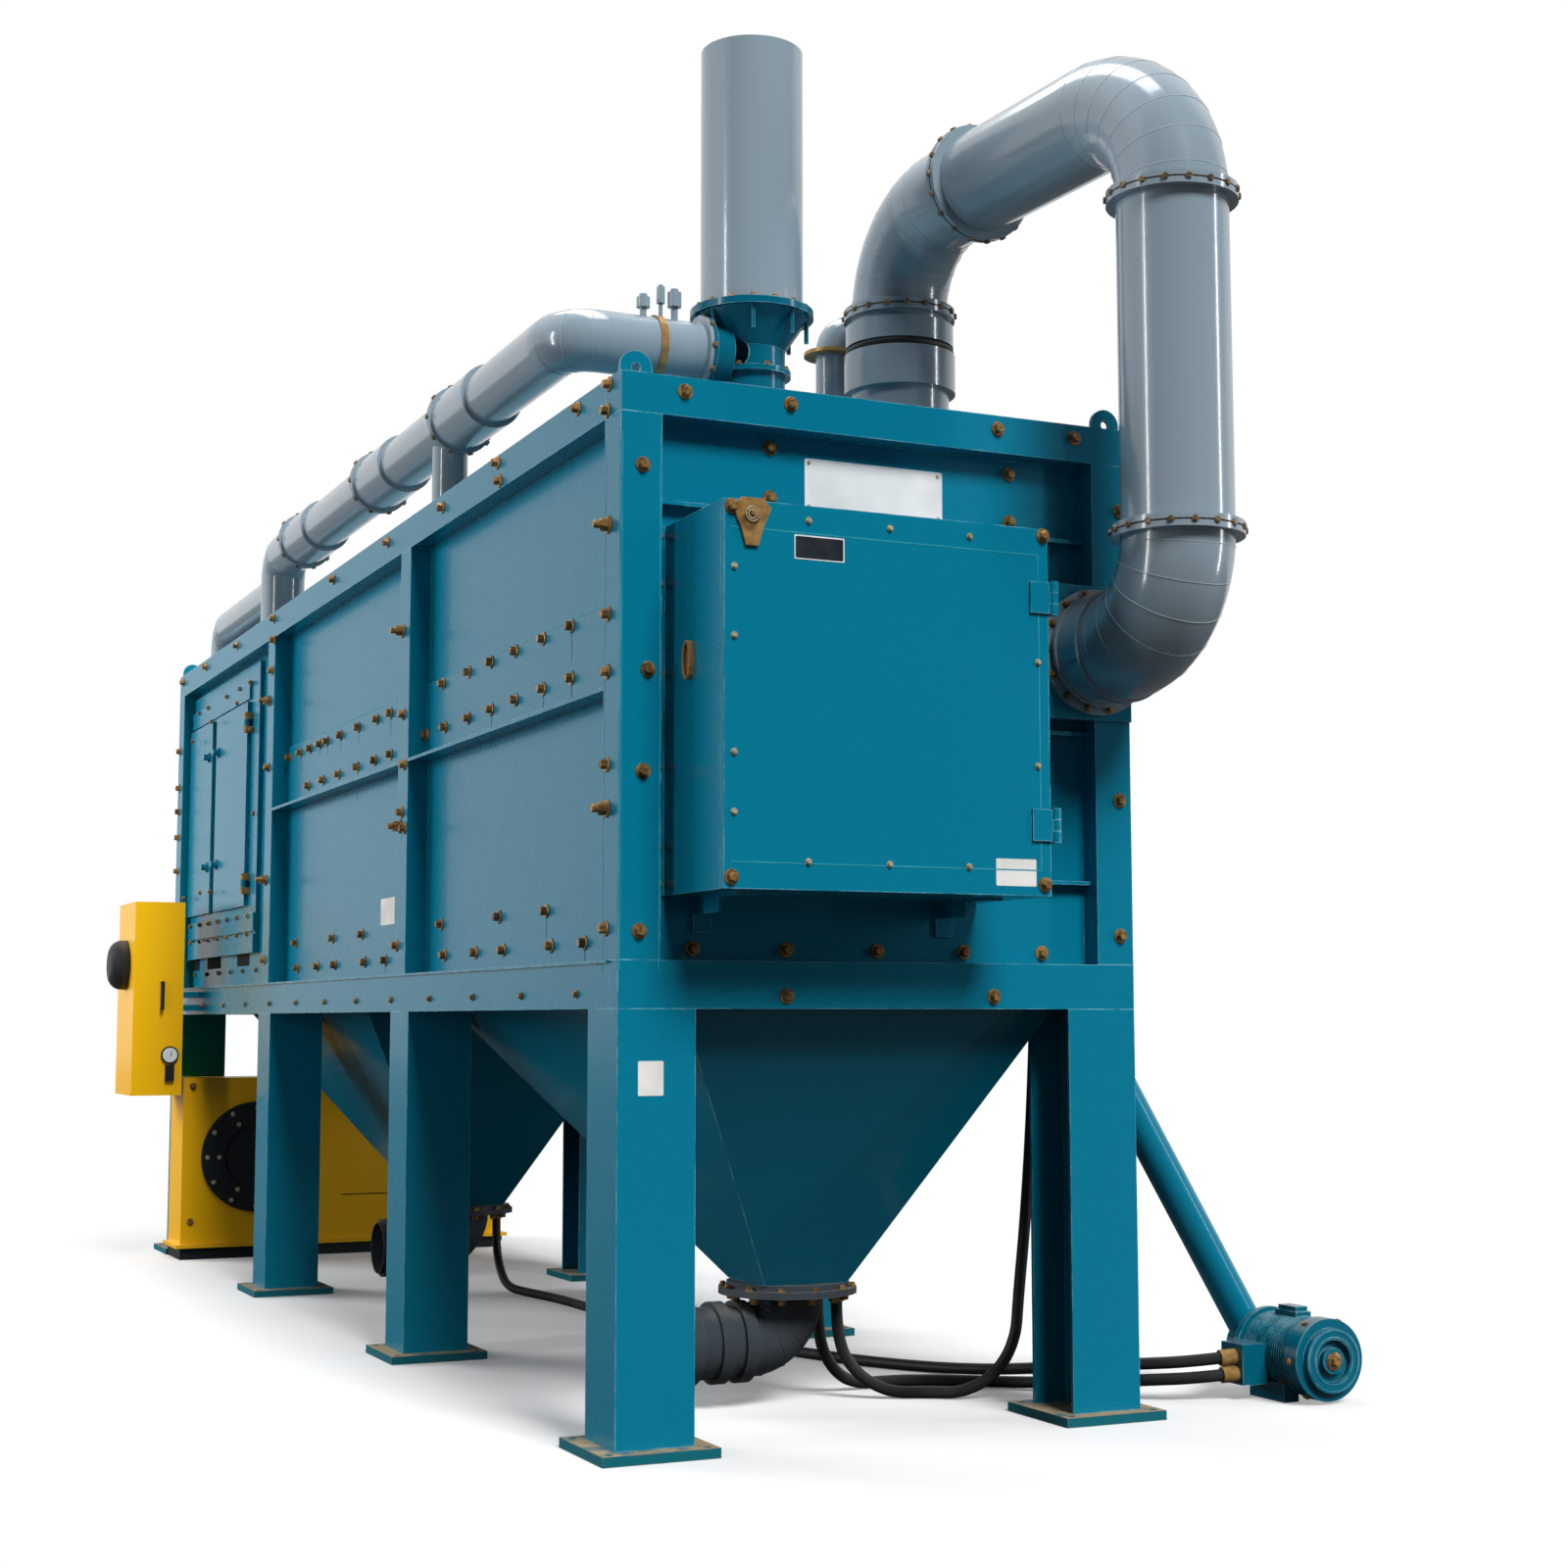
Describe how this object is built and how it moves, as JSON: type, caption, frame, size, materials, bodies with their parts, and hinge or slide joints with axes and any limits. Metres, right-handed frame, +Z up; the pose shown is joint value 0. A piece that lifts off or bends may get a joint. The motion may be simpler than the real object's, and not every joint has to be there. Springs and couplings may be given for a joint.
{
  "type": "mechanical dust collector",
  "caption": "Industrial mechanical dust collector: steel housing on legs with dust hoppers, hinged doors, grey inlet duct, outlet stack, roof manifold, fan and discharge motor.",
  "frame": {"origin": "middle of the machine's bounding box, on the floor", "axes": "+X to the right of the inspection cabinet's front, +Y from the front wall to the back, +Z up"},
  "size_m": [3.1102, 7.818, 4.757],
  "materials": {
    "teal_paint": "semi-gloss machine paint",
    "grey_duct_paint": "glossy grey enamel",
    "dark_outlet_paint": "satin dark grey enamel",
    "yellow_paint": "semi-gloss yellow enamel",
    "black_plastic": "matte",
    "yellow_zinc": "yellow passivated zinc",
    "foot_plate_paint": "worn paint under dust",
    "black_rubber": "matte"
  },
  "bodies": {
    "frame": {"base_plates": "foot_plate_paint", "cabinet_hinges": "teal_paint", "cabinet_ring_pull": "yellow_zinc", "cabinet_shell": "teal_paint", "control_panel": "yellow_paint", "control_panel_fittings": "black_plastic", "duct_down": "grey_duct_paint", "duct_inlet_frame": "teal_paint", "duct_low_bend": "grey_duct_paint", "duct_rise_bend": "grey_duct_paint", "duct_spigot": "grey_duct_paint", "duct_top_bend": "grey_duct_paint", "end_wall_panels": "teal_paint", "fan_casing": "yellow_paint", "fan_inlet": "black_plastic", "fan_plinth": "black_plastic", "floor_plate": "teal_paint", "front_hopper": "teal_paint", "front_wall_flats": "teal_paint", "hopper_outlet_bends": "dark_outlet_paint", "hopper_outlet_flanges": "dark_outlet_paint", "hose_glands": "yellow_zinc", "hose_housing_front": "black_rubber", "hose_motor_front": "black_rubber", "hose_motor_rear": "black_rubber", "left_wall_panels": "teal_paint", "legs_left": "teal_paint", "legs_right": "teal_paint", "lifting_lugs": "teal_paint", "manifold_cross": "grey_duct_paint", "manifold_end": "grey_duct_paint", "manifold_run_1": "grey_duct_paint", "manifold_run_2": "grey_duct_paint", "manifold_run_3": "grey_duct_paint", "motor_body": "teal_paint", "motor_end_bell": "teal_paint", "motor_rear_flange": "teal_paint", "motor_terminal_box": "teal_paint", "outlet_stack": "grey_duct_paint", "rear_hopper": "teal_paint", "right_wall_panels": "teal_paint", "ring_beam_ends": "teal_paint", "ring_beam_sides": "teal_paint", "roof_fittings": "yellow_zinc", "roof_sheets": "teal_paint", "screw_tube": "teal_paint", "side_door_far": "teal_paint", "side_door_frame": "teal_paint", "side_door_hinges": "yellow_zinc", "side_wall_stiffeners": "teal_paint", "stack_base": "teal_paint", "top_beam_ends": "teal_paint", "top_beam_sides": "teal_paint", "vent_riser": "grey_duct_paint", "wall_brackets": "teal_paint", "wall_posts": "teal_paint"},
    "cabinet_door": {"cabinet_door": "teal_paint", "cabinet_latch": "yellow_zinc"},
    "side_door": {"side_door_near": "teal_paint"}
  },
  "joints": [
    {"name": "cabinet_door_hinge", "type": "hinge", "parent": "frame", "child": "cabinet_door", "pos_m": [0.17409, -3.586, 2.21], "axis": [0, 0, 1], "range_deg": [0, 110]},
    {"name": "side_door_hinge", "type": "hinge", "parent": "frame", "child": "side_door", "pos_m": [-1.07141, 2.182, 2.37], "axis": [0, 0, 1], "range_deg": [0, 100]}
  ]
}
